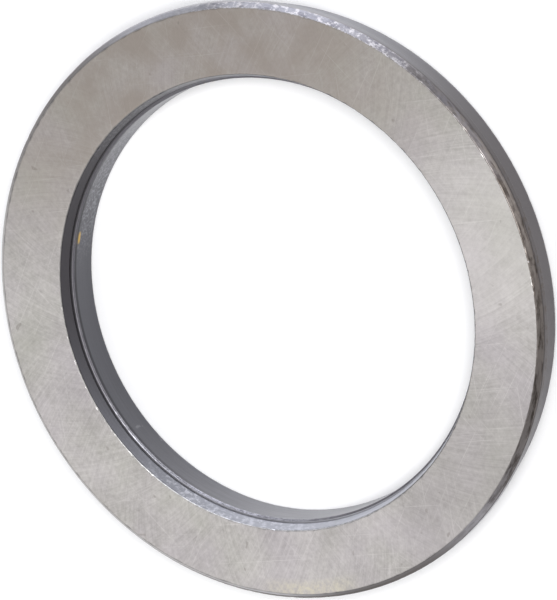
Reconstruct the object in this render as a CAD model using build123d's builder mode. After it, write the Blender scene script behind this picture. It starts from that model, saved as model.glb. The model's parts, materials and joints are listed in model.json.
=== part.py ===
from build123d import *
import os

# Single-direction thrust ball bearing of low section, lying on its shaft washer.
# Millimetres. +Z is the bearing's axis. The origin is the centre of the bottom face.

# Driving sizes: what a catalogue would give
bore_diameter = 100.0  # the shaft washer's bore, a sliding seat on the shaft
outside_diameter = 135.0  # the housing washer's rim, which centres it in the housing
bearing_height = 12.0  # from the shaft washer's back face to the housing washer's back face

# Balls
ball_diameter = 7.144  # 9/32 inch, a stock ball size
ball_count = 36

# Raceways
groove_ratio = 0.54  # groove radius as a share of the ball's diameter
groove_depth = 1.0  # from a washer's running face to the bottom of its groove
ball_play = 0.1  # between a ball and the bottom of each groove

# Housing washer: a flat ring with its ground back face up
housing_thickness = 3.2
shaft_clearance = 0.75  # round the shaft, so that only the shaft washer is centred on it
housing_rim_chamfer = 1.25
housing_rim_break = 0.3  # the small broken edge at the lower side of the rim
taper_width = 0.75  # how far the lead-in taper of the bore widens to the back face
bore_land = 0.4  # the straight stretch left below the taper
running_gap = 0.3  # between the housing washer and the shaft washer's two lips

# Shaft washer: a ring with a channel that holds the cage and the balls
rim_step = 2.0  # how far its rim stands inside the housing washer's
bore_break = 0.4  # chamfer at both ends of the bore
shaft_rim_chamfer = 1.0  # at the back face
lip_break = 0.3  # at the top edges of the two lips

# Cage: a ring machined from solid, with a hollow-ball pocket that each ball snaps into
pocket_play = 0.15  # between a ball and its pocket, all round
cage_wall = 0.8  # thinnest wall between a pocket and the cage's side
cage_side_play = 0.5  # between the cage and the walls of the channel
cage_end_play = 0.6  # between the cage and the running faces above and below it
cage_edge_break = 0.3

# Radii, from the axis outwards
ball_radius = ball_diameter / 2
groove_radius = groove_ratio * ball_diameter
bore_radius = bore_diameter / 2
outside_radius = outside_diameter / 2
housing_bore_radius = bore_radius + shaft_clearance
shaft_washer_radius = outside_radius - rim_step
pitch_radius = (bore_radius + shaft_washer_radius) / 2
cage_half_width = ball_radius + pocket_play + cage_wall
channel_half_width = cage_half_width + cage_side_play

# Heights, from the top down
housing_underside = bearing_height - housing_thickness
lip_height = housing_underside - running_gap
ball_centre_height = housing_underside + groove_depth - ball_play - ball_radius
channel_floor = ball_centre_height - ball_radius - ball_play + groove_depth
cage_height = housing_underside - channel_floor - 2 * cage_end_play


def ring_groove(centre_height):
    """A ring of the raceway's round section, to be cut from a washer."""
    with BuildPart(mode=Mode.PRIVATE) as groove:
        with BuildSketch(Plane.XZ):
            with Locations((pitch_radius, centre_height)):
                Circle(groove_radius)
        revolve(axis=Axis.Z)
    return groove.part


# Shaft washer, turned and ground from a ring of bearing steel
channel_inner_radius = pitch_radius - channel_half_width
channel_outer_radius = pitch_radius + channel_half_width
with BuildPart() as shaft_washer:
    with BuildSketch(Plane.XZ):
        with BuildLine():
            Polyline(
                (bore_radius + bore_break, 0),
                (shaft_washer_radius - shaft_rim_chamfer, 0),
                (shaft_washer_radius, shaft_rim_chamfer),
                (shaft_washer_radius, lip_height - lip_break),
                (shaft_washer_radius - lip_break, lip_height),
                (channel_outer_radius + lip_break, lip_height),
                (channel_outer_radius, lip_height - lip_break),
                (channel_outer_radius, channel_floor),
                (channel_inner_radius, channel_floor),
                (channel_inner_radius, lip_height - lip_break),
                (channel_inner_radius - lip_break, lip_height),
                (bore_radius + bore_break, lip_height),
                (bore_radius, lip_height - bore_break),
                (bore_radius, bore_break),
                close=True,
            )
        make_face()
    revolve(axis=Axis.Z)
    add(ring_groove(channel_floor - groove_depth + groove_radius), mode=Mode.SUBTRACT)
shaft_washer.part.label = "shaft_washer"

# Housing washer, a flat ring whose only raceway is on its underside
with BuildPart() as housing_washer:
    with BuildSketch(Plane.XZ):
        with BuildLine():
            Polyline(
                (housing_bore_radius, housing_underside),
                (outside_radius - housing_rim_break, housing_underside),
                (outside_radius, housing_underside + housing_rim_break),
                (outside_radius, bearing_height - housing_rim_chamfer),
                (outside_radius - housing_rim_chamfer, bearing_height),
                (housing_bore_radius + taper_width, bearing_height),
                (housing_bore_radius, housing_underside + bore_land),
                close=True,
            )
        make_face()
    revolve(axis=Axis.Z)
    add(ring_groove(housing_underside + groove_depth - groove_radius), mode=Mode.SUBTRACT)
housing_washer.part.label = "housing_washer"

# Cage, one ring whose pockets are wider inside than at their mouths, so that it keeps its balls
with BuildPart() as ball_cage:
    with BuildSketch(Plane.XY.offset(ball_centre_height - cage_height / 2)):
        Circle(pitch_radius + cage_half_width)
        Circle(pitch_radius - cage_half_width, mode=Mode.SUBTRACT)
    extrude(amount=cage_height)
    chamfer(ball_cage.edges().filter_by(GeomType.CIRCLE), length=cage_edge_break)
    with Locations((0, 0, ball_centre_height)):
        with PolarLocations(pitch_radius, ball_count):
            Sphere(ball_radius + pocket_play, mode=Mode.SUBTRACT)
ball_cage.part.label = "ball_cage"

# Balls, each one its own piece in its own pocket
with BuildPart() as one_ball:
    Sphere(ball_radius)
balls = []
for place in PolarLocations(pitch_radius, ball_count):
    ball = Pos(0, 0, ball_centre_height) * place * one_ball.part
    ball.label = f"ball_{len(balls) + 1:02d}"
    balls.append(ball)

os.makedirs("parts", exist_ok=True)
for piece in [shaft_washer.part, housing_washer.part, ball_cage.part, *balls]:
    export_step(piece, f"parts/{piece.label}.step")
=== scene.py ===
import json
import math

import bpy
from mathutils import Matrix, Vector, noise

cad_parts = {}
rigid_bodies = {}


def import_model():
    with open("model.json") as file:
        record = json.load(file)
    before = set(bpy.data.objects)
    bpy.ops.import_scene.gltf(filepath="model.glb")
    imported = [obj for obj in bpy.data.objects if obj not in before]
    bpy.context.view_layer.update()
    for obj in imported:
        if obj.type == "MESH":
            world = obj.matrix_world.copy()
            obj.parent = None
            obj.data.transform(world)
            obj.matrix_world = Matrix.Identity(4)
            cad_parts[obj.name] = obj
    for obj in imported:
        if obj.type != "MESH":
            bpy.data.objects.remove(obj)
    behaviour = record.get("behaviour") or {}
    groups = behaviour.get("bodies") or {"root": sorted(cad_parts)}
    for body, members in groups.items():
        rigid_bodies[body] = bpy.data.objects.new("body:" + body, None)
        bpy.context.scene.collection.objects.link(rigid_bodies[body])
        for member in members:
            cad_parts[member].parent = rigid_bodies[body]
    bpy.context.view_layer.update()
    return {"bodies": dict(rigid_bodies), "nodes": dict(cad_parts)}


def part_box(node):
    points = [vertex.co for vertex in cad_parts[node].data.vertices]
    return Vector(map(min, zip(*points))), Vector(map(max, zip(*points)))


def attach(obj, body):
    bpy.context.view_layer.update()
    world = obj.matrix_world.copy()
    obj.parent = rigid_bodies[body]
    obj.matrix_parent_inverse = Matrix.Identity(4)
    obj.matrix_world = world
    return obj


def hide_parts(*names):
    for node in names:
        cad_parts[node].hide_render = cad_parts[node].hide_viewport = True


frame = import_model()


# ---------------------------------------------------------------------------
# Shaft washer. A ring of through-hardened bearing steel, turned all over and then
# ground in its bore and on its back face, which is the one that the bearing lies on.
# Its channel is open at the top, and holds the cage and the balls.

MM = 0.001


def linear(code):
    """An sRGB hex colour, as the linear numbers that a shader takes."""
    levels = [int(code[place : place + 2], 16) / 255 for place in (1, 3, 5)]
    return [v / 12.92 if v <= 0.04045 else ((v + 0.055) / 1.055) ** 2.4 for v in levels] + [1.0]


def add(tree, kind, inputs=None, output=0, **settings):
    """Adds a node, gives it its settings, values and links, and returns one of its outputs."""
    node = tree.nodes.new("ShaderNode" + kind)
    for name, value in settings.items():
        setattr(node, name, value)
    for name, value in (inputs or {}).items():
        if isinstance(value, bpy.types.NodeSocket):
            tree.links.new(value, node.inputs[name])
        else:
            node.inputs[name].default_value = value
    return node.outputs[output]


def metal(name, roughness):
    """A bare metal with nothing on it yet, and its shader."""
    material = bpy.data.materials.new(name)
    material.use_nodes = True
    shader = material.node_tree.nodes["Principled BSDF"]
    shader.inputs["Metallic"].default_value = 1.0
    shader.inputs["Roughness"].default_value = roughness
    return material, material.node_tree, shader


def place_on_ring(tree):
    """The point in millimetres, its distance from the axis, its height, and its direction outward."""
    metres = add(tree, "TexCoord", output="Object")
    point = add(tree, "VectorMath", {0: metres, "Scale": 1 / MM}, operation="SCALE")
    flat = add(tree, "VectorMath", {0: point, 1: (1, 1, 0)}, operation="MULTIPLY")
    radius = add(tree, "VectorMath", {0: flat}, "Value", operation="LENGTH")
    outward = add(tree, "VectorMath", {0: flat}, operation="NORMALIZE")
    height = add(tree, "SeparateXYZ", {0: point}, "Z")
    return point, radius, height, outward


def drawn_round(tree, draw):
    """Where a pattern lies that is drawn out round the ring, so many times as long as it is wide. The
    height counts for more than the radius, so that a chamfer has its lines too."""
    mean_radius = 60
    height_weight = 1.6
    _, radius, height, outward = place_on_ring(tree)
    round_it = add(tree, "VectorMath", {0: outward, "Scale": mean_radius / draw}, operation="SCALE")
    across = add(tree, "Math", {0: height, 1: height_weight, 2: radius}, operation="MULTIPLY_ADD")
    lift = add(tree, "CombineXYZ", {"Z": across})
    return add(tree, "VectorMath", {0: round_it, 1: lift}, operation="ADD")


def tool_lines(tree, pitch, length):
    """Fine lines that a lathe or a wheel leaves round a ring, with their pitch and length."""
    place = drawn_round(tree, length / pitch)
    lines = {"Vector": place, "Scale": 0.5 / pitch, "Detail": 3.0, "Roughness": 0.6}
    return add(tree, "TexNoise", lines, "Fac")


def stretch_of_ring(tree, outward, middle, reach):
    """1 at an angle round the ring, in degrees, falling to 0 at some reach to either side of it."""
    turn = math.radians(middle)
    way = (math.cos(turn), math.sin(turn), 0)
    along = add(tree, "VectorMath", {0: outward, 1: way}, "Value", operation="DOT_PRODUCT")
    limits = {"Value": along, "From Min": math.cos(math.radians(reach)), "From Max": 1.0}
    return add(tree, "MapRange", limits, interpolation_type="SMOOTHSTEP")


def turned_steel(name, dark, light, roughness, pitch=0.25, stains_and_painted_light=()):
    """Steel as the lathe leaves it: soft lines round the ring that catch the light, and a cloudy, slightly
    uneven grey. The feed of 0.12 mm is too fine to show and is drawn twice as coarse. Over this lie patches
    of other colours, each on one stretch of the ring: its middle and reach are in degrees, its cover is the
    share of the metal that it hides, and its grain is the size of its spots in millimetres. A patch may be
    drawn out round the ring, and it may rise from nothing at one height to its full strength at another.
    Some of these patches are dirt; others are painted shade and painted highlights, tuned to stand in for a
    darker or a lighter reflection, and under other lights those are best left out."""
    material, tree, shader = metal(name, roughness)
    point, _, height, outward = place_on_ring(tree)
    lines = tool_lines(tree, pitch, 9.0)
    cloud = add(tree, "TexNoise", {"Vector": point, "Scale": 0.14, "Detail": 3.0}, "Fac")
    grain = add(tree, "TexNoise", {"Vector": point, "Scale": 1.6, "Detail": 3.0, "Roughness": 0.6}, "Fac")
    soft = add(tree, "Mix", {"Factor": 0.45, 2: cloud, 3: grain})
    tone = add(tree, "Mix", {"Factor": 0.45, 2: soft, 3: lines})
    share = add(tree, "MapRange", {"Value": tone, "From Min": 0.38, "From Max": 0.62})
    tones = {"Factor": share, 6: linear(dark), 7: linear(light)}
    colour = add(tree, "Mix", tones, 2, data_type="RGBA")
    for colour_patch in stains_and_painted_light:
        place = drawn_round(tree, colour_patch["drawn"]) if "drawn" in colour_patch else point
        patches = {"Vector": place, "Scale": 1 / colour_patch["grain"], "Detail": 5.0, "Roughness": 0.65}
        spots = add(tree, "TexNoise", patches, "Fac")
        # the noise lies mostly between 0.25 and 0.65, so this is where the cover starts and ends
        start = 0.65 - 0.4 * colour_patch["cover"]
        limits = {"Value": spots, "From Min": start, "From Max": start + 0.12, "To Max": colour_patch["strength"]}
        where = stretch_of_ring(tree, outward, colour_patch["middle"], colour_patch["reach"])
        film = add(tree, "Math", {0: where, 1: add(tree, "MapRange", limits)}, operation="MULTIPLY")
        if "rise" in colour_patch:
            start, full = colour_patch["rise"]
            reached = add(tree, "MapRange", {"Value": height, "From Min": start, "From Max": full})
            film = add(tree, "Math", {0: film, 1: reached}, operation="MULTIPLY")
        tones = {"Factor": film, 6: colour, 7: linear(colour_patch["colour"])}
        colour = add(tree, "Mix", tones, 2, data_type="RGBA")
    tree.links.new(colour, shader.inputs["Base Color"])
    limits = {"Value": soft, "From Min": 0.35, "From Max": 0.65}
    limits |= {"To Min": roughness - 0.05, "To Max": roughness + 0.07}
    tree.links.new(add(tree, "MapRange", limits), shader.inputs["Roughness"])
    relief = add(tree, "Mix", {"Factor": 0.4, 2: lines, 3: grain})
    bump = add(tree, "Bump", {"Height": relief, "Strength": 0.5, "Distance": 0.012 * MM})
    tree.links.new(bump, shader.inputs["Normal"])
    return material


def knocked_edge_painted_highlight(name, dull, bright, middle, reach, highlight_floor):
    """An edge that was tumbled and then knocked about: dull, and on one stretch of the ring broken by bare
    bright metal, in knocks of about a millimetre. That stretch is where the edge faces the lights, so its
    brightness is partly wear and partly a painted highlight, and it shows bright between the knocks too, by
    the share that the last argument gives."""
    material, tree, shader = metal(name, 0.4)
    point, _, _, outward = place_on_ring(tree)
    knocks = add(tree, "TexNoise", {"Vector": point, "Scale": 0.8, "Detail": 5.0, "Roughness": 0.7}, "Fac")
    bare = add(tree, "MapRange", {"Value": knocks, "From Min": 0.42, "From Max": 0.54, "To Min": highlight_floor})
    where = stretch_of_ring(tree, outward, middle, reach)
    share = add(tree, "Math", {0: bare, 1: where}, operation="MULTIPLY")
    tones = {"Factor": share, 6: linear(dull), 7: linear(bright)}
    tree.links.new(add(tree, "Mix", tones, 2, data_type="RGBA"), shader.inputs["Base Color"])
    limits = {"Value": share, "To Min": 0.55, "To Max": 0.26}
    tree.links.new(add(tree, "MapRange", limits), shader.inputs["Roughness"])
    bump = add(tree, "Bump", {"Height": knocks, "Strength": 0.5, "Distance": 0.04 * MM})
    tree.links.new(bump, shader.inputs["Normal"])
    return material


def lapped_raceway(name):
    """The groove that the balls run in: lapped until it mirrors, with the faint bright track that the
    balls wear."""
    material, tree, shader = metal(name, 0.12)
    _, radius, _, _ = place_on_ring(tree)
    lines = tool_lines(tree, 0.2, 40.0)
    share = add(tree, "MapRange", {"Value": lines, "From Min": 0.4, "From Max": 0.6})
    tones = {"Factor": share, 6: linear("#b9b8b6"), 7: linear("#cfcecb")}
    tree.links.new(add(tree, "Mix", tones, 2, data_type="RGBA"), shader.inputs["Base Color"])
    half_track = 0.7
    on_track = add(tree, "Math", {0: radius, 1: pitch_radius, 2: half_track}, operation="COMPARE")
    limits = {"Value": on_track, "To Min": 0.2, "To Max": 0.1}
    tree.links.new(add(tree, "MapRange", limits), shader.inputs["Roughness"])
    return material


def turned_ring(name, corners, materials, segments=1080):
    """A ring turned round the Z axis. Each corner is its radius and height in millimetres, how far its
    edge is rounded, how deep that edge is nicked, the finish of the stretch that follows it, and the
    edge's own finish where it has one."""
    round_steps = 4
    largest_cut = 0.3  # of a flat's length, so that the two edges of a short flat don't meet
    flats = (1.6, 2.4)  # points beside a rounded edge that keep the shading of the flats flat
    outline = []
    for index, (radius, height, edge, nick, finish, *own) in enumerate(corners):
        here = Vector((radius, height))
        before = corners[index - 1]
        after = corners[(index + 1) % len(corners)]
        back = Vector(before[:2]) - here
        ahead = Vector(after[:2]) - here
        if edge == 0:
            outline.append((here, Vector((0, 0)), 0.0, finish))
            continue
        cut = min(edge, largest_cut * back.length, largest_cut * ahead.length)
        back.normalize()
        ahead.normalize()
        inward = (back + ahead).normalized()
        for share in reversed(flats):
            outline.append((here + back * cut * share, inward, 0.0, before[4]))
        for step in range(round_steps + 1):
            share = step / round_steps
            curve = back * cut * (1 - share) ** 2 + ahead * cut * share**2
            depth = nick * (0.35 + 0.65 * math.sin(math.pi * share))
            side = finish if step > 1 else before[4]
            if own and step in (1, 2):
                side = own[0]
            outline.append((here + curve, inward, depth, side))
        for share in flats:
            outline.append((here + ahead * cut * share, inward, 0.0, finish))
    points = []
    mean_radius = 60
    for segment in range(segments):
        turn = 2 * math.pi * segment / segments
        outward = Vector((math.cos(turn), math.sin(turn), 0))
        for place, inward, nick, finish in outline:
            spot = outward * mean_radius + Vector((0, 0, place.x + 3 * place.y))
            # broad knocks, with smaller ones between them
            knock = noise.noise(spot * 0.8) + 0.7 * noise.noise(spot * 2.6) if nick else 0.0
            radius, height = place + inward * nick * max(0.0, knock)
            points.append((outward.x * radius * MM, outward.y * radius * MM, height * MM))
    count = len(outline)
    faces = []
    for segment in range(segments):
        here, there = segment * count, (segment + 1) % segments * count
        for k in range(count):
            ahead = (k + 1) % count
            faces.append((here + k, there + k, there + ahead, here + ahead))
    mesh = bpy.data.meshes.new(name)
    mesh.from_pydata(points, [], faces)
    mesh.shade_smooth()
    for material in materials.values():
        mesh.materials.append(material)
    slots = [list(materials).index(finish) for place, inward, nick, finish in outline]
    mesh.polygons.foreach_set("material_index", slots * segments)
    ring = bpy.data.objects.new(name, mesh)
    bpy.context.scene.collection.objects.link(ring)
    return ring


def groove(centre_height, start, end, steps=24):
    """The raceway's round section, from one angle to another, in degrees from the outward direction."""
    arc = []
    for step in range(steps + 1):
        turn = math.radians(start + (end - start) * step / steps)
        finish = "turned" if step == steps else "raceway"
        radius = pitch_radius + groove_radius * math.cos(turn)
        arc.append((radius, centre_height + groove_radius * math.sin(turn), 0, 0, finish))
    return arc


ball_low, ball_high = (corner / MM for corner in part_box("ball_01"))
ball_radius = (ball_high.z - ball_low.z) / 2
ball_height = (ball_high.z + ball_low.z) / 2
pitch_radius = ball_low.x + ball_radius
groove_radius = 0.54 * 2 * ball_radius
ball_play = 0.1  # between a ball and the bottom of its groove
groove_depth = 1.0
groove_edge = math.degrees(math.asin(1 - groove_depth / groove_radius))

washer_low, washer_high = (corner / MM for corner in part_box("shaft_washer"))
rim = washer_high.x
back_face, lip = washer_low.z, washer_high.z
bore = 50.0
bore_break = 0.4
rim_chamfer = 1.0
lip_break = 0.3
channel_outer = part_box("ball_cage")[1].x / MM + 0.5
channel_inner = 2 * pitch_radius - channel_outer
channel_floor = ball_height - ball_radius - ball_play + groove_depth

shaft_washer = turned_ring(
    "shaft_washer_turned",
    [
        (bore + bore_break, back_face, 0.08, 0.04, "back", "edge"),
        (rim - rim_chamfer, back_face, 0.1, 0.04, "turned", "edge"),
        (rim, back_face + rim_chamfer, 0.1, 0.04, "turned", "edge"),
        (rim, lip - lip_break, 0.08, 0, "turned"),
        (rim - lip_break, lip, 0.08, 0, "turned"),
        (channel_outer + lip_break, lip, 0.08, 0, "turned"),
        (channel_outer, lip - lip_break, 0.08, 0, "turned"),
        (channel_outer, channel_floor, 0, 0, "turned"),
        *groove(channel_floor - groove_depth + groove_radius, -groove_edge, groove_edge - 180),
        (channel_inner, channel_floor, 0, 0, "turned"),
        (channel_inner, lip - lip_break, 0.08, 0, "turned"),
        (channel_inner - lip_break, lip, 0.08, 0, "lip"),
        (bore + bore_break, lip, 0.12, 0.08, "edge"),
        (bore, lip - bore_break, 0.12, 0.08, "bore", "edge"),
        (bore, back_face + bore_break, 0.1, 0.06, "bore", "edge"),
    ],
    {
        "back": turned_steel("ground bearing steel, back face", "#b2afab", "#c6c3bf", 0.34, 0.4),
        "turned": turned_steel(
            "turned bearing steel", "#94949a", "#a8a8ad", 0.38, 0.25,
            # painted shade: darker over a broad stretch of the ring, standing in for a dark reflection
            [dict(colour="#5e5a5b", middle=-105, reach=70, strength=0.95, cover=1.25, grain=4.0)],
        ),
        "raceway": lapped_raceway("lapped bearing steel"),
        "bore": turned_steel(
            "ground bearing steel, bore, with painted shade", "#838388", "#98989d", 0.36, 0.35,
            [
                # painted shade: the bore darker over a broad stretch, standing in for a dark reflection
                dict(colour="#4e4e53", middle=70, reach=85, strength=0.85, cover=1.1, grain=5.0),
                dict(colour="#b4b4ba", middle=30, reach=30, strength=0.4, cover=0.42, grain=0.6),
                # a small brass-coloured fleck, and above it a dark band by the joint between the washers:
                # painted shade
                dict(colour="#bd9c52", middle=50, reach=2, strength=1, cover=1, grain=0.6, rise=(6.2, 6.5)),
                dict(colour="#3c3c3f", middle=58, reach=84, strength=0.95, cover=1.3, grain=1,
                     rise=(7, 7.4)),
            ],
        ),
        "lip": turned_steel(
            "tumbled bearing steel, inner lip, with painted shade", "#a0a0a6", "#b6b6bc", 0.6, 0.3,
            # painted shade: the lip dark over a broad stretch, by the joint between the washers
            [dict(colour="#5f5d60", middle=50, reach=96, strength=1.0, cover=1.5, grain=3.0)],
        ),
        # painted highlight: bright knocks only on the stretch of edge that faces the lights
        "edge": knocked_edge_painted_highlight("bearing steel, knocked bore edge, painted highlight", "#77757a", "#c4c4cc", 132, 44, 0.4),
    },
    segments=720,
)
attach(shaft_washer, "shaft_washer")
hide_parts("shaft_washer")


# ---------------------------------------------------------------------------
# Cage. One ring of brass, machined from solid, with a round pocket for each ball. It
# floats in the shaft washer's channel and is held there by the balls alone.


def machined_brass(name):
    """Brass as machined: warm yellow, with fine turning lines and the dull brown that oil leaves in
    patches. The feed of 0.1 mm is drawn as 0.2 mm so that it shows."""
    material, tree, shader = metal(name, 0.26)
    point, _, _, _ = place_on_ring(tree)
    lines = tool_lines(tree, 0.2, 25.0)
    film = add(tree, "TexNoise", {"Vector": point, "Scale": 0.2, "Detail": 4.0, "Roughness": 0.6}, "Fac")
    share = add(tree, "MapRange", {"Value": lines, "From Min": 0.4, "From Max": 0.6})
    tones = {"Factor": share, 6: linear("#c9a24e"), 7: linear("#e0bd6c")}
    colour = add(tree, "Mix", tones, 2, data_type="RGBA")
    patch = add(tree, "MapRange", {"Value": film, "From Min": 0.5, "From Max": 0.68, "To Max": 0.6})
    colour = add(tree, "Mix", {"Factor": patch, 6: colour, 7: linear("#94713a")}, 2, data_type="RGBA")
    tree.links.new(colour, shader.inputs["Base Color"])
    limits = {"Value": film, "From Min": 0.35, "From Max": 0.65, "To Min": 0.2, "To Max": 0.36}
    tree.links.new(add(tree, "MapRange", limits), shader.inputs["Roughness"])
    bump = add(tree, "Bump", {"Height": lines, "Strength": 0.4, "Distance": 0.01 * MM})
    tree.links.new(bump, shader.inputs["Normal"])
    return material


def refinish(node, material):
    """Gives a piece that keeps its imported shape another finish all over."""
    for slot in frame["nodes"][node].material_slots:
        slot.material = material


refinish("ball_cage", machined_brass("machined brass"))


# ---------------------------------------------------------------------------
# Balls. 36 balls of chrome bearing steel, forged, ground and lapped. Each lies loose in
# its own pocket and rolls in the two grooves.


def lapped_ball_steel(name):
    """Steel lapped to a mirror. A thin film of oil, thicker in places, is all that dulls it."""
    material, tree, shader = metal(name, 0.06)
    metres = add(tree, "TexCoord", output="Object")
    point = add(tree, "VectorMath", {0: metres, "Scale": 1 / MM}, operation="SCALE")
    film = add(tree, "TexNoise", {"Vector": point, "Scale": 0.5, "Detail": 3.0}, "Fac")
    share = add(tree, "MapRange", {"Value": film, "From Min": 0.35, "From Max": 0.65})
    tones = {"Factor": share, 6: linear("#c4c4c5"), 7: linear("#d8d8d8")}
    tree.links.new(add(tree, "Mix", tones, 2, data_type="RGBA"), shader.inputs["Base Color"])
    limits = {"Value": film, "From Min": 0.45, "From Max": 0.65, "To Min": 0.05, "To Max": 0.13}
    tree.links.new(add(tree, "MapRange", limits), shader.inputs["Roughness"])
    return material


ball_finish = lapped_ball_steel("lapped chrome steel")
for node in frame["bodies"]:
    if node.startswith("ball_") and node != "ball_cage":
        refinish(node, ball_finish)


# ---------------------------------------------------------------------------
# Housing washer. A flat ring of bearing steel that lies on the balls, groove down. Its
# back face is ground flat, its rim and its bore are turned, and its edges are tumbled.


def ground_steel(name):
    """Steel ground flat under a cup wheel: arcs that cross each other, leaning 27 degrees either side of
    the radius, clouds of warm grey under them, and scratches from handling. The grit's lines are about
    0.05 mm wide and are drawn 0.22 mm wide."""
    material, tree, shader = metal(name, 0.36)
    point, radius, _, outward = place_on_ring(tree)
    line_width, line_length, lean = 0.22, 8.0, 27
    arcs = []
    for side in (-1, 1):
        twist = math.tan(math.radians(lean)) * side / pitch_radius
        turn = add(tree, "Math", {0: radius, 1: twist}, operation="MULTIPLY")
        aside = add(tree, "VectorRotate", {"Vector": outward, "Angle": turn}, rotation_type="Z_AXIS")
        across = add(tree, "VectorMath", {0: aside, "Scale": pitch_radius}, operation="SCALE")
        along = add(tree, "Math", {0: radius, 1: line_width / line_length}, operation="MULTIPLY")
        lift = add(tree, "CombineXYZ", {"Z": along})
        place = add(tree, "VectorMath", {0: across, 1: lift}, operation="ADD")
        spec = {"Vector": place, "Scale": 0.5 / line_width, "Detail": 3.0, "Roughness": 0.7}
        arcs.append(add(tree, "TexNoise", spec, "Fac"))
    patches = add(tree, "TexNoise", {"Vector": point, "Scale": 0.06, "Detail": 2.0}, "Fac")
    share = add(tree, "MapRange", {"Value": patches, "From Min": 0.3, "From Max": 0.7})
    hatch = add(tree, "Mix", {"Factor": share, 2: arcs[0], 3: arcs[1]})
    # clouds and grain under the arcs
    cloud = add(tree, "TexNoise", {"Vector": point, "Scale": 0.1, "Detail": 4.0, "Roughness": 0.55}, "Fac")
    grain = add(tree, "TexNoise", {"Vector": point, "Scale": 0.9, "Detail": 5.0, "Roughness": 0.75}, "Fac")
    soft = add(tree, "Mix", {"Factor": 0.6, 2: cloud, 3: grain})
    tone = add(tree, "Mix", {"Factor": 0.37, 2: soft, 3: hatch})
    share = add(tree, "MapRange", {"Value": tone, "From Min": 0.35, "From Max": 0.65})
    tones = {"Factor": share, 6: linear("#9f9c9a"), 7: linear("#ccc9c8")}
    colour = add(tree, "Mix", tones, 2, data_type="RGBA")
    # tints that oil and cleaning leave: faint green and faint violet
    tint = add(tree, "TexNoise", {"Vector": point, "Scale": 0.07, "Detail": 3.0}, "Color")
    amount = add(tree, "SeparateColor", {0: tint}, 1)
    for code, low, high in (("#b4b8a8", 0.5, 0.7), ("#bbb3bf", 0.5, 0.3)):
        film = add(tree, "MapRange", {"Value": amount, "From Min": low, "From Max": high, "To Max": 0.25})
        colour = add(tree, "Mix", {"Factor": film, 6: colour, 7: linear(code)}, 2, data_type="RGBA")
    # a warm brown, darker film over one broad stretch of the ring, in clouds: painted shade
    painted_shade_stretch = stretch_of_ring(tree, outward, -12, 78)
    limits = {"Value": cloud, "From Min": 0.3, "From Max": 0.6, "To Min": 0.45, "To Max": 0.9}
    film = add(tree, "Math", {0: painted_shade_stretch, 1: add(tree, "MapRange", limits)}, operation="MULTIPLY")
    colour = add(tree, "Mix", {"Factor": film, 6: colour, 7: linear("#968e87")}, 2, data_type="RGBA")
    # a yellow film of dried oil by the rim
    where = stretch_of_ring(tree, outward, 160, 12)
    by_rim = add(tree, "MapRange", {"Value": radius, "From Min": rim - 5.0, "From Max": rim - 3.0})
    limits = {"Value": grain, "From Min": 0.4, "From Max": 0.6, "To Min": 0.1, "To Max": 0.6}
    film = add(tree, "Math", {0: where, 1: add(tree, "MapRange", limits)}, operation="MULTIPLY")
    film = add(tree, "Math", {0: film, 1: by_rim}, operation="MULTIPLY")
    colour = add(tree, "Mix", {"Factor": film, 6: colour, 7: linear("#d2ccb4")}, 2, data_type="RGBA")
    # one broad stretch lighter and one darker, tuned to the brightness: a painted highlight and a painted
    # shade that stand in for reflections
    for middle, reach, code in ((-100, 26, "#e2dfdd"), (-152, 32, "#8f8b8b")):
        where = stretch_of_ring(tree, outward, middle, reach)
        film = add(tree, "Math", {0: where, 1: 0.3}, operation="MULTIPLY")
        colour = add(tree, "Mix", {"Factor": film, 6: colour, 7: linear(code)}, 2, data_type="RGBA")
    # scratches that run straight on in a few directions, fewer where the film is brown
    scratches = None
    scratch_length = 30
    directions = (18, 0, 0.16), (-52, 40, 0.16), (71, 90, 0.2), (-20, 140, 0.14), (124, 200, 0.18)
    for turn, start, width in directions:
        lay = {"Vector": point, "Location": (start, start, 0), "Scale": (scratch_length, 2 * width, 1)}
        lay["Rotation"] = (0, 0, math.radians(turn))
        place = add(tree, "Mapping", lay, vector_type="TEXTURE")
        fine = add(tree, "TexNoise", {"Vector": place, "Scale": 1.0, "Detail": 1.0}, "Fac")
        line = add(tree, "MapRange", {"Value": fine, "From Min": 0.66, "From Max": 0.78})
        if scratches is not None:
            line = add(tree, "Math", {0: scratches, 1: line}, operation="MAXIMUM")
        scratches = line
    bare = add(tree, "MapRange", {"Value": painted_shade_stretch, "To Min": 0.3, "To Max": 0.12})
    share = add(tree, "Math", {0: scratches, 1: bare}, operation="MULTIPLY")
    colour = add(tree, "Mix", {"Factor": share, 6: colour, 7: linear("#dedcda")}, 2, data_type="RGBA")
    # a few small pits
    pits = add(tree, "TexNoise", {"Vector": point, "Scale": 0.55, "Detail": 0.0}, "Fac")
    pitted = add(tree, "MapRange", {"Value": pits, "From Min": 0.83, "From Max": 0.87, "To Max": 0.35})
    colour = add(tree, "Mix", {"Factor": pitted, 6: colour, 7: linear("#77716b")}, 2, data_type="RGBA")
    tree.links.new(colour, shader.inputs["Base Color"])
    limits = {"Value": tone, "From Min": 0.35, "From Max": 0.65, "To Min": 0.42, "To Max": 0.33}
    tree.links.new(add(tree, "MapRange", limits), shader.inputs["Roughness"])
    relief = add(tree, "Mix", {"Factor": 0.5, 2: hatch, 3: grain})
    bump = add(tree, "Bump", {"Height": relief, "Strength": 0.3, "Distance": 0.008 * MM})
    tree.links.new(bump, shader.inputs["Normal"])
    return material


washer_low, washer_high = (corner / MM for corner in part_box("housing_washer"))
rim = washer_high.x
running_face, back_face = washer_low.z, washer_high.z
rim_chamfer = 1.25
rim_break = 0.3
bore = 50.75
taper_width = 0.75
bore_land = 0.4

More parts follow.
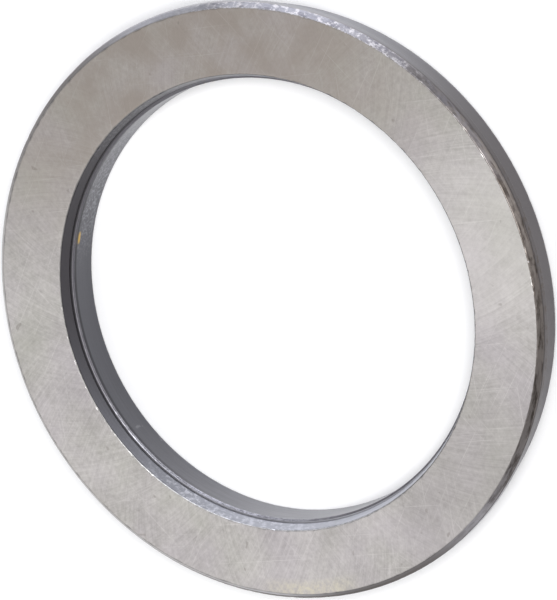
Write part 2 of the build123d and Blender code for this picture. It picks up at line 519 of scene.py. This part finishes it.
housing_washer = turned_ring(
    "housing_washer_ground",
    [
        (rim - rim_break, running_face, 0.06, 0, "rim"),
        (rim, running_face + rim_break, 0.1, 0, "rim"),
        (rim, back_face - rim_chamfer, 0.3, 0.1, "chamfer", "rim edge"),
        (rim - rim_chamfer, back_face, 0.15, 0.13, "ground", "edge"),
        (bore + taper_width, back_face, 0.3, 0.2, "taper", "bore edge"),
        (bore, running_face + bore_land, 0.12, 0, "taper"),
        (bore, running_face, 0.06, 0, "turned"),
        *groove(running_face + groove_depth - groove_radius, 180 - groove_edge, groove_edge),
    ],
    {
        "rim": turned_steel(
            "turned bearing steel, rim, with painted shade", "#96969b", "#a9a9ae", 0.36, 0.3,
            [
                # painted shade: the rim darker over a broad stretch, standing in for a dark reflection
                dict(colour="#534e4e", middle=-105, reach=66, strength=0.95, cover=1.25, grain=4.0),
                dict(colour="#4c423b", middle=-112, reach=34, strength=0.7, cover=0.4, grain=1.6),
            ],
        ),
        "chamfer": turned_steel(
            "tumbled bearing steel, rim chamfer", "#a6a6ad", "#c6c6cd", 0.36, 0.25,
            [
                # painted shade: brown-grey over a broad stretch, standing in for a dark reflection
                dict(colour="#7c746e", middle=-108, reach=72, strength=0.95, cover=1.1, grain=1.8),
                dict(colour="#47403b", middle=-112, reach=66, strength=0.9, cover=0.44, grain=0.4,
                     drawn=12),
                # painted shade: three broad stretches, each dimmer, standing in for darker reflections
                dict(colour="#a29f9d", middle=90, reach=100, strength=1.0, cover=1.6, grain=3.0),
                dict(colour="#625d5b", middle=25, reach=30, strength=0.9, cover=1.5, grain=2.0),
                dict(colour="#57524f", middle=178, reach=28, strength=0.9, cover=1.6, grain=2.0),
                dict(colour="#57524f", middle=158, reach=40, strength=0.95, cover=1.6, grain=2,
                     rise=(11.5, 11.2)),
                dict(colour="#85838a", middle=-48, reach=50, strength=0.7, cover=0.42, grain=0.6, drawn=6),
                # painted highlight: near-white streaks drawn round the stretch that mirrors the lights
                dict(colour="#fbf8f8", middle=-40, reach=32, strength=0.7, cover=0.4, grain=0.4, drawn=3),
            ],
        ),
        "ground": ground_steel("ground bearing steel"),
        "taper": turned_steel(
            "turned bearing steel, bore taper", "#9b9da5", "#b4b6c0", 0.34, 0.25,
            [
                # painted shade: dark over a broad stretch, standing in for a dark reflection
                dict(colour="#454346", middle=42, reach=118, strength=1.0, cover=1.6, grain=3.0),
                dict(colour="#77777d", middle=6, reach=24, strength=0.5, cover=0.42, grain=0.6),
                # painted highlight: light bluish patches on the stretch that mirrors the lights
                dict(colour="#d2d3dc", middle=142, reach=34, strength=0.6, cover=0.4, grain=1.2),
            ],
        ),
        "turned": turned_steel("turned bearing steel, running face", "#8b8a8c", "#a09fa0", 0.34),
        "raceway": lapped_raceway("lapped bearing steel, upper groove"),
        "rim edge": turned_steel(
            "tumbled bearing steel, outer corner, with painted shade", "#a3a1a4", "#b9b7ba", 0.42, 0.3,
            [
                # painted shade: the corner dark over two broad stretches, standing in for dark reflections
                dict(colour="#3f3b3a", middle=-172, reach=52, strength=0.95, cover=1.5, grain=2.0),
                dict(colour="#3f3a37", middle=-108, reach=76, strength=0.9, cover=1.2, grain=1.2),
            ],
        ),
        "edge": turned_steel(
            "tumbled bearing steel, rim edge", "#a19e9b", "#b5b2af", 0.5, 0.3,
            [
                # painted shade: the edge dull and dark over a broad stretch
                dict(colour="#5a5450", middle=-98, reach=66, strength=0.95, cover=1.5, grain=1.2),
                # painted highlight: bright patches on the stretch of edge that catches the lights
                dict(colour="#ececf4", middle=-38, reach=34, strength=0.9, cover=0.42, grain=0.6),
            ],
        ),
        # painted highlight: white knocks only on the stretch of edge that faces the lights
        "bore edge": knocked_edge_painted_highlight(
            "bearing steel, knocked edge of the bore, painted highlight", "#8f8d8b", "#ffffff", 146, 50, 0.4,
        ),
    },
)
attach(housing_washer, "housing_washer")
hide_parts("housing_washer")


# ---------------------------------------------------------------------------
# Floor. A sheet of matt white paper, wide enough that its edge is never seen.


def matt_paper(name):
    """Coated paper: white, with the faintest cloud of its fibres."""
    material = bpy.data.materials.new(name)
    material.use_nodes = True
    tree = material.node_tree
    shader = tree.nodes["Principled BSDF"]
    shader.inputs["Roughness"].default_value = 0.9
    metres = add(tree, "TexCoord", output="Object")
    fibres = add(tree, "TexNoise", {"Vector": metres, "Scale": 60.0, "Detail": 4.0}, "Fac")
    tones = {"Factor": fibres, 6: linear("#fafafa"), 7: linear("#fdfdfd")}
    tree.links.new(add(tree, "Mix", tones, 2, data_type="RGBA"), shader.inputs["Base Color"])
    return material


reach = 6.0
floor_mesh = bpy.data.meshes.new("floor")
floor_corners = [(-reach, -reach, 0), (reach, -reach, 0), (reach, reach, 0), (-reach, reach, 0)]
floor_mesh.from_pydata(floor_corners, [], [(0, 1, 2, 3)])
floor_mesh.materials.append(matt_paper("matt white paper"))
floor = bpy.data.objects.new("floor", floor_mesh)
bpy.context.scene.collection.objects.link(floor)


# ---------------------------------------------------------------------------
# Light. A white room and four softboxes: one over the bearing that its face mirrors, a
# cool one to the east that its rim mirrors, a low one to the west that its far chamfer
# mirrors, and one from the front that clears the floor.

world = bpy.data.worlds.new("white room")
world.use_nodes = True
world.node_tree.nodes["Background"].inputs["Color"].default_value = linear("#f7f8fc")
world.node_tree.nodes["Background"].inputs["Strength"].default_value = 0.45
bpy.context.scene.world = world


def softbox(name, toward, distance, side, brightness, colour):
    """A square softbox that faces the bearing, at a distance in metres. A brightness of 1 is that of
    a white wall."""
    light = bpy.data.lights.new(name, "AREA")
    light.shape = "SQUARE"
    light.size = side
    light.energy = brightness * math.pi * side**2
    light.color = linear(colour)[:3]
    made = bpy.data.objects.new(name, light)
    bpy.context.scene.collection.objects.link(made)
    made.location = Vector(toward).normalized() * distance
    made.rotation_euler = made.location.to_track_quat("Z", "Y").to_euler()
    return made


softbox("face_softbox", (-0.2, 0.52, 0.85), 0.65, 0.62, 0.76, "#fffcf8")
softbox("rim_softbox", (0.86, -0.34, 0.4), 0.8, 0.6, 0.95, "#f1f2ff")
softbox("west_softbox", (-0.93, 0.34, 0.22), 0.8, 0.42, 0.9, "#fbfbff")
softbox("front_softbox", (0.0, -0.54, 0.84), 1.8, 0.9, 11.0, "#ffffff")


# ---------------------------------------------------------------------------
# Camera. A long lens, south of the bearing and rolled about its own line of sight.

bpy.context.scene.view_settings.view_transform = "Standard"
lens = bpy.data.cameras.new("camera")
lens.sensor_width = 36.0
lens.lens = 283.9
lens.clip_start = 0.01
camera = bpy.data.objects.new("camera", lens)
bpy.context.scene.collection.objects.link(camera)
elevation, roll = math.radians(58.43), math.radians(-117.0)
distance = 1038.3
behind = Vector((0, -math.cos(elevation), math.sin(elevation)))
level = Vector((1, 0, 0))
right = level * math.cos(roll) + behind.cross(level) * math.sin(roll)
up = behind.cross(right)
aim = Vector((0, 0, back_face)) + right * 3.51 + up * 1.08
place = Matrix.Translation((aim + behind * distance) * MM)
camera.matrix_world = place @ Matrix((right, up, behind)).transposed().to_4x4()
bpy.context.scene.camera = camera
